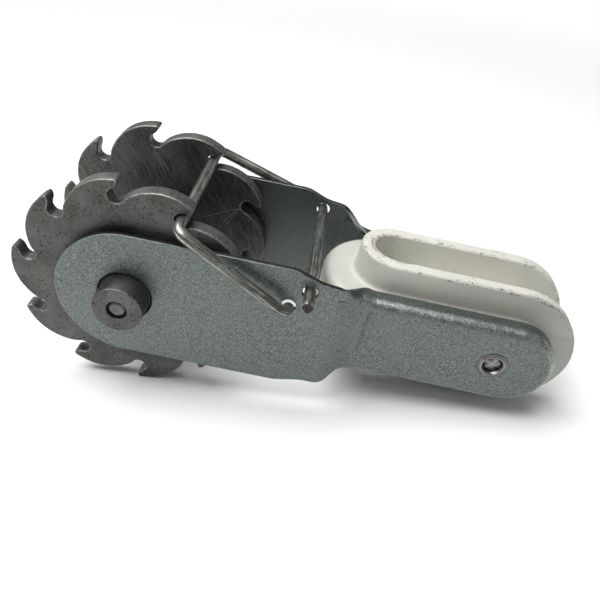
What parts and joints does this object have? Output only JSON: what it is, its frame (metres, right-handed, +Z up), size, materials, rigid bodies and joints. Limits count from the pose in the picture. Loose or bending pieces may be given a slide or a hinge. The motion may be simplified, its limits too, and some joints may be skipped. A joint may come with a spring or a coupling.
{
  "type": "fence wire strainer",
  "caption": "In-line ratchet strainer for fence wire: toothed cast wheels on a drum between pressed side plates, with a sprung wire pawl and a riveted white insulator.",
  "frame": {"origin": "centre of the winding drum, on its axis and midway between the wheels", "axes": "+X along the tool from the drum to the insulator, +Y along the drum axis to the far side plate, +Z up, square to both"},
  "size_m": [0.1636, 0.0617, 0.0672],
  "materials": {
    "galvanised_sheet": "galvanised, satin, fine spangle",
    "cast_alloy": "as cast, dull, pitted",
    "spring_wire": "galvanised wire, satin",
    "rivet_steel": "zinc plated, bright",
    "insulator_plastic": "moulded, matt, scuffed on the rims"
  },
  "bodies": {
    "frame": {"near_side_plate": "galvanised_sheet", "far_side_plate": "galvanised_sheet", "insulator": "insulator_plastic", "insulator_rivet": "rivet_steel"},
    "spool": {"near_ratchet_wheel": "cast_alloy", "far_ratchet_wheel": "cast_alloy", "drum_rivet": "rivet_steel"},
    "pawl": {"pawl_wire": "spring_wire"}
  },
  "joints": [
    {"name": "spool_turn", "type": "hinge", "parent": "frame", "child": "spool", "pos_m": [0, 0, 0], "axis": [0, -1, 0], "range_deg": [0, 36]},
    {"name": "pawl_lift", "type": "hinge", "parent": "frame", "child": "pawl", "pos_m": [0.0502, 0, 0.01435], "axis": [0, 1, 0], "range_deg": [0, 18], "stiffness_Nm_per_rad": 0.3}
  ],
  "couplings": [
    {"joint": "pawl_lift", "follows": "spool_turn", "ratio": 0.5}
  ]
}
